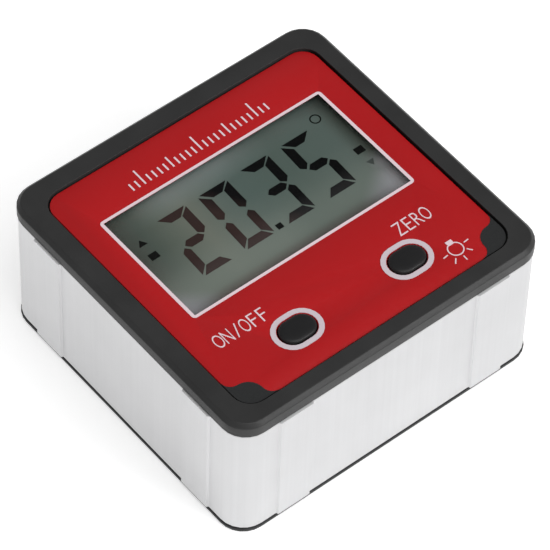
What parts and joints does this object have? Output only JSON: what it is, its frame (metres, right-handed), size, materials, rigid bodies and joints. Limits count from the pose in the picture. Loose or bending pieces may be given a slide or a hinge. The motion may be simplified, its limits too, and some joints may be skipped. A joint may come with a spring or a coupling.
{
  "type": "digital angle gauge",
  "caption": "Square battery angle gauge: an aluminium frame with raised rails, a recessed red front panel, a display window, push buttons and a hinged battery door.",
  "frame": {"origin": "Middle of the object's bounding box on the plane of the rear cover, on which it rests.", "axes": "+X along the reading direction of the display, +Y to the display's upper edge, +Z out of the display."},
  "size_m": [0.0544, 0.0524, 0.0244],
  "materials": {
    "anodised_aluminium": "extruded and satin anodised",
    "black_abs": "moulded black ABS, fine satin",
    "red_panel": "glossy red printed plastic",
    "clear_window": "clear polished acrylic",
    "white_print": "white screen print",
    "black_print": "black screen print",
    "lcd_glass": "polished, with a grey reflector behind",
    "button_rubber": "satin moulded black",
    "natural_plastic": "moulded translucent white",
    "green_board": "glass fibre board with green solder mask",
    "chip_black": "moulded black",
    "bright_steel": "bright zinc plate",
    "cell_jacket": "plain printed film on a metal can",
    "nickel": "nickel plate",
    "led_white": "moulded white",
    "contact_rubber": "layered conductive rubber"
  },
  "bodies": {
    "housing": {"aluminium_frame": "anodised_aluminium", "front_bezel": "black_abs", "front_panel": "red_panel", "display_window": "clear_window", "window_border_print": "white_print", "on_off_ring_print": "white_print", "zero_ring_print": "white_print", "left_corner_print": "black_print", "right_corner_print": "black_print", "lcd_glass": "lcd_glass", "lcd_holder": "natural_plastic", "light_guide": "natural_plastic", "backlight_led": "led_white", "contact_strip": "contact_rubber", "circuit_board": "green_board", "sensor_chip": "chip_black", "processor_chip": "chip_black", "clock_crystal": "bright_steel", "on_off_switch": "chip_black", "zero_switch": "chip_black", "rear_cover": "black_abs", "battery_1": "cell_jacket", "battery_2": "cell_jacket", "battery_spring_1": "nickel", "battery_spring_2": "nickel", "spring_plate": "nickel", "positive_plate": "nickel", "bridge_plate": "nickel", "case_screw_1": "bright_steel", "case_screw_2": "bright_steel", "case_screw_3": "bright_steel", "case_screw_4": "bright_steel", "base_magnet_1": "nickel", "base_magnet_2": "nickel"},
    "power_button": {"on_off_button": "button_rubber", "on_off_plunger": "chip_black"},
    "reset_button": {"zero_button": "button_rubber", "zero_plunger": "chip_black"},
    "door": {"battery_door": "black_abs"}
  },
  "joints": [
    {"name": "power_press", "type": "slide", "parent": "housing", "child": "power_button", "axis": [0, 0, -1], "range_m": [0, 0.00035], "stiffness_N_per_m": 4300},
    {"name": "reset_press", "type": "slide", "parent": "housing", "child": "reset_button", "axis": [0, 0, -1], "range_m": [0, 0.00035], "stiffness_N_per_m": 4300},
    {"name": "door_hinge", "type": "hinge", "parent": "housing", "child": "door", "pos_m": [-0.0231, 0, 0.00045], "axis": [0, 1, 0], "range_deg": [0, 70]}
  ]
}
